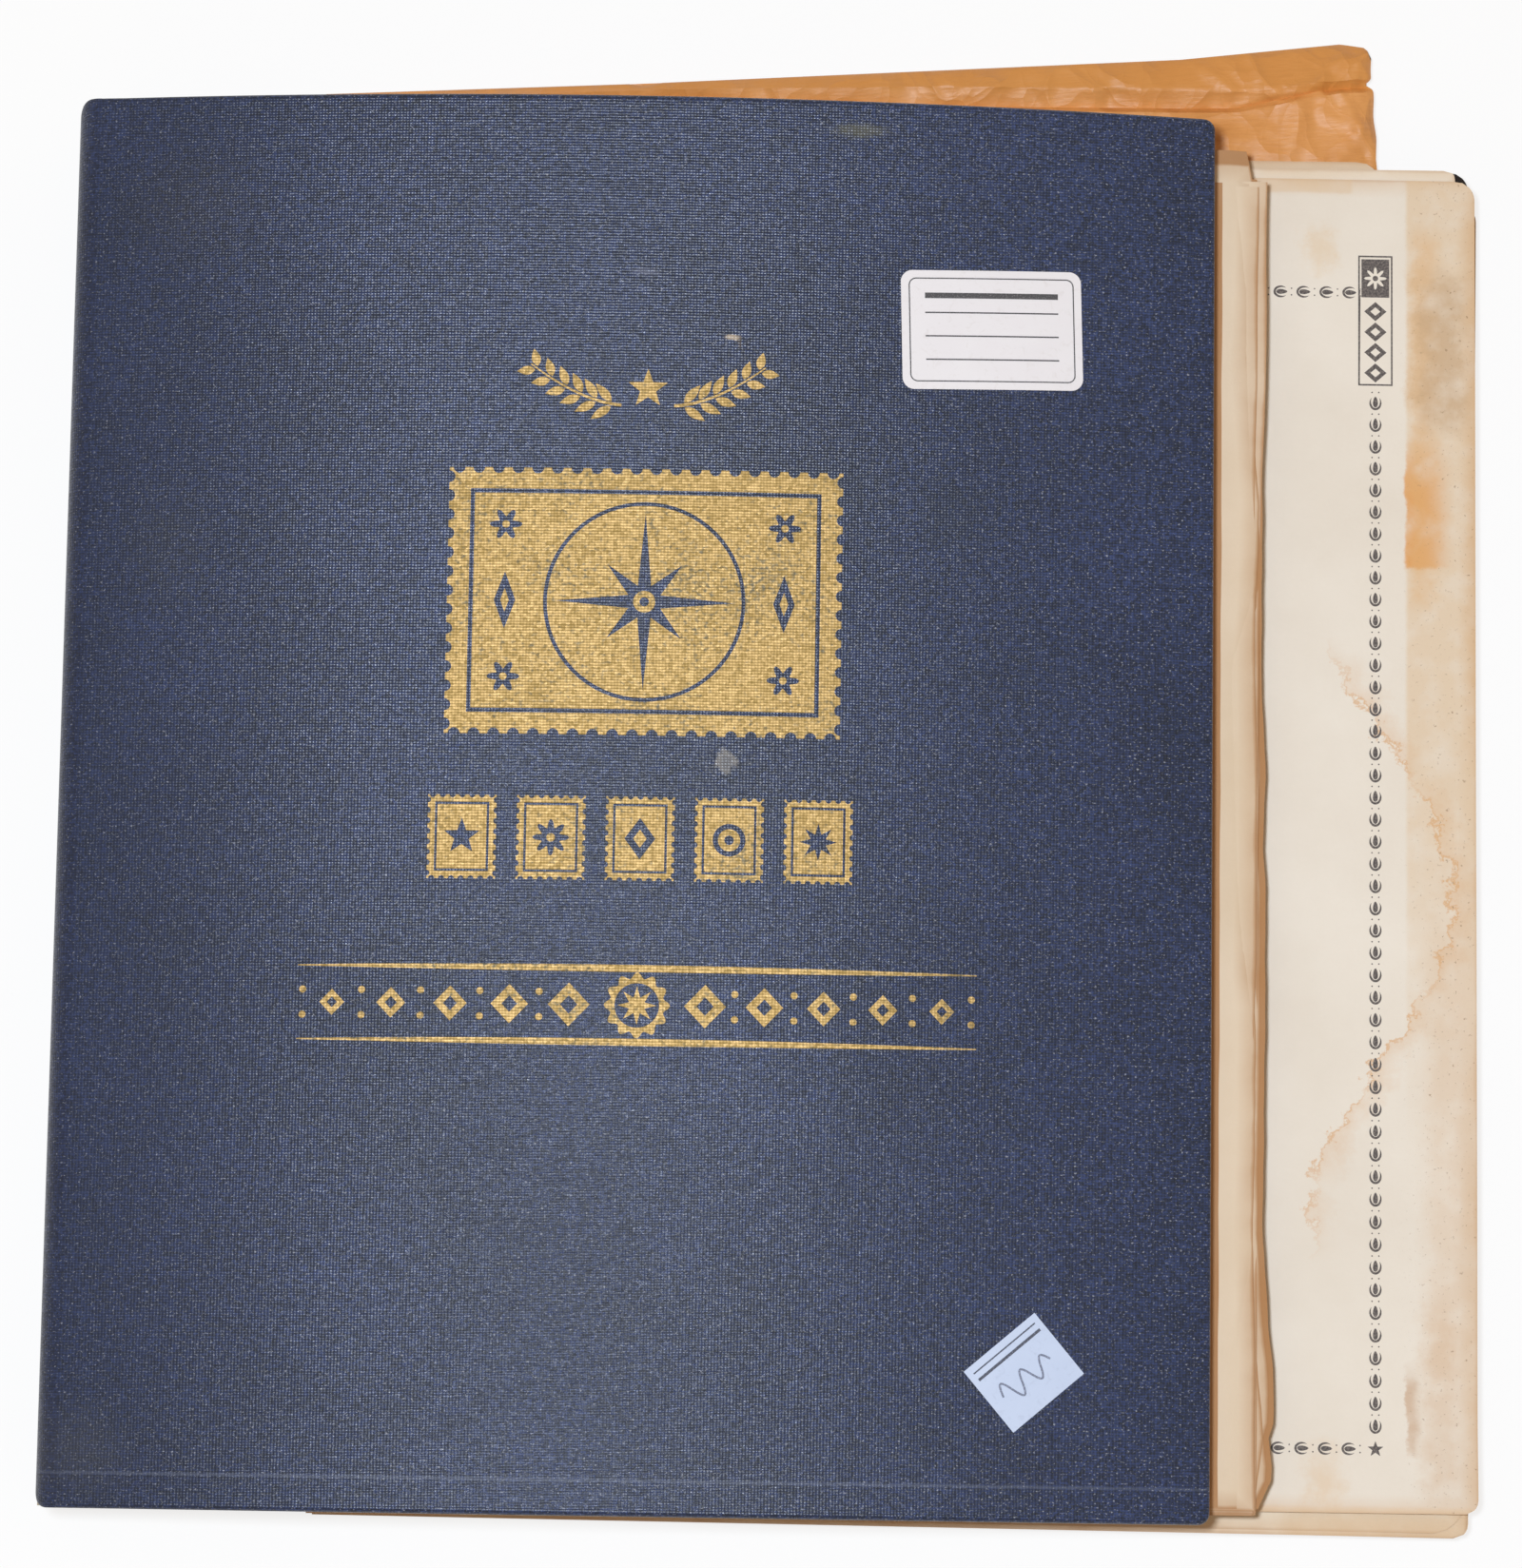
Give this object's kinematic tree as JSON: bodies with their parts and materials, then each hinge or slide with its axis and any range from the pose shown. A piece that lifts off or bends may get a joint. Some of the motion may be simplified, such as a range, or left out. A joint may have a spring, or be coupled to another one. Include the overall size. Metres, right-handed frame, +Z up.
{
  "type": "stamp album",
  "caption": "Loose-leaf stamp album lying closed: cloth-covered case with an arched front cover, post-bound leaves, loose leaves and a kraft envelope tucked in.",
  "frame": {"origin": "centre of the closed album's footprint, on the surface that it lies on", "axes": "+Z up, away from the surface; +X from the spine towards the fore-edge; +Y from the tail towards the head of the leaves"},
  "size_m": [0.2994, 0.3216, 0.046],
  "materials": {
    "greyboard": "matt pulp board",
    "book_cloth": "embossed woven book cloth, slightly glossy",
    "lining_paper": "matt endpaper",
    "label_paper": "smooth white label",
    "sticker_paper": "pale blue sticker",
    "strip_cloth": "cloth-covered strip",
    "guard_card": "thin manila card",
    "leaf_paper": "aged album paper",
    "post_brass": "dull brass",
    "printed_paper": "aged printed paper",
    "toned_paper": "browned paper",
    "stock_card": "black stock card",
    "kraft_paper": "creased kraft paper"
  },
  "bodies": {
    "back_cover": {"back_board": "greyboard", "back_cloth": "book_cloth", "back_lining": "lining_paper", "back_joint_cloth": "book_cloth", "back_binding_strip": "strip_cloth", "filler_guards": "guard_card", "leaf_margins": "leaf_paper", "front_binding_strip": "strip_cloth", "post_barrels": "post_brass", "post_screws": "post_brass"},
    "spine": {"spine_board": "greyboard", "spine_cloth": "book_cloth", "spine_lining": "lining_paper", "front_joint_cloth": "book_cloth"},
    "front_cover": {"front_board": "greyboard", "front_cloth": "book_cloth", "front_lining": "lining_paper", "cover_label": "label_paper", "cover_sticker": "sticker_paper"},
    "leaves_1": {"leaf_section_1": "leaf_paper"},
    "leaves_2": {"leaf_section_2": "leaf_paper"},
    "leaves_3": {"leaf_section_3": "leaf_paper"},
    "leaves_4": {"leaf_section_4": "leaf_paper"},
    "leaves_5": {"leaf_section_5": "leaf_paper"},
    "leaves_6": {"leaf_section_6": "leaf_paper"},
    "printed_leaf": {"printed_leaf": "printed_paper"},
    "second_leaf": {"second_leaf": "toned_paper"},
    "stock_leaf": {"stock_leaf": "stock_card"},
    "third_leaf": {"third_leaf": "toned_paper"},
    "loose_bundle": {"loose_bundle": "leaf_paper"},
    "envelope": {"envelope_body": "kraft_paper", "envelope_flap": "kraft_paper"}
  },
  "joints": [
    {"name": "spine_hinge", "type": "hinge", "parent": "back_cover", "child": "spine", "pos_m": [-0.14825, -0.0104, 0.0016], "axis": [0, -1, 0], "range_deg": [0, 85]},
    {"name": "front_cover_hinge", "type": "hinge", "parent": "spine", "child": "front_cover", "pos_m": [-0.14825, -0.0104, 0.0332], "axis": [0, -1, 0], "range_deg": [0, 88]},
    {"name": "leaves_1_turn", "type": "hinge", "parent": "back_cover", "child": "leaves_1", "pos_m": [-0.11815, -0.0104, 0.02935], "axis": [0, -1, 0], "range_deg": [0, 83.65]},
    {"name": "leaves_2_turn", "type": "hinge", "parent": "back_cover", "child": "leaves_2", "pos_m": [-0.11815, -0.0104, 0.02662], "axis": [0, -1, 0], "range_deg": [0, 70.45]},
    {"name": "leaves_3_turn", "type": "hinge", "parent": "back_cover", "child": "leaves_3", "pos_m": [-0.11815, -0.0104, 0.02388], "axis": [0, -1, 0], "range_deg": [0, 57.25]},
    {"name": "leaves_4_turn", "type": "hinge", "parent": "back_cover", "child": "leaves_4", "pos_m": [-0.11815, -0.0104, 0.02115], "axis": [0, -1, 0], "range_deg": [0, 44.05]},
    {"name": "leaves_5_turn", "type": "hinge", "parent": "back_cover", "child": "leaves_5", "pos_m": [-0.11815, -0.0104, 0.01842], "axis": [0, -1, 0], "range_deg": [0, 30.85]},
    {"name": "leaves_6_turn", "type": "hinge", "parent": "back_cover", "child": "leaves_6", "pos_m": [-0.11815, -0.0104, 0.01568], "axis": [0, -1, 0], "range_deg": [0, 17.65]},
    {"name": "printed_leaf_slide", "type": "slide", "parent": "back_cover", "child": "printed_leaf", "axis": [1, 0, 0], "range_m": [0, 0.2]},
    {"name": "second_leaf_slide", "type": "slide", "parent": "back_cover", "child": "second_leaf", "axis": [1, 0, 0], "range_m": [0, 0.2]},
    {"name": "stock_leaf_slide", "type": "slide", "parent": "back_cover", "child": "stock_leaf", "axis": [1, 0, 0], "range_m": [0, 0.2]},
    {"name": "third_leaf_slide", "type": "slide", "parent": "back_cover", "child": "third_leaf", "axis": [1, 0, 0], "range_m": [0, 0.2]},
    {"name": "loose_bundle_slide", "type": "slide", "parent": "back_cover", "child": "loose_bundle", "axis": [1, 0, 0], "range_m": [0, 0.2]},
    {"name": "envelope_slide", "type": "slide", "parent": "back_cover", "child": "envelope", "axis": [-0.0593, 0.9982, 0], "range_m": [0, 0.31]}
  ],
  "couplings": [
    {"joint": "leaves_1_turn", "follows": "front_cover_hinge", "ratio": 0.95},
    {"joint": "leaves_2_turn", "follows": "front_cover_hinge", "ratio": 0.8},
    {"joint": "leaves_3_turn", "follows": "front_cover_hinge", "ratio": 0.65},
    {"joint": "leaves_4_turn", "follows": "front_cover_hinge", "ratio": 0.5},
    {"joint": "leaves_5_turn", "follows": "front_cover_hinge", "ratio": 0.35},
    {"joint": "leaves_6_turn", "follows": "front_cover_hinge", "ratio": 0.2}
  ]
}
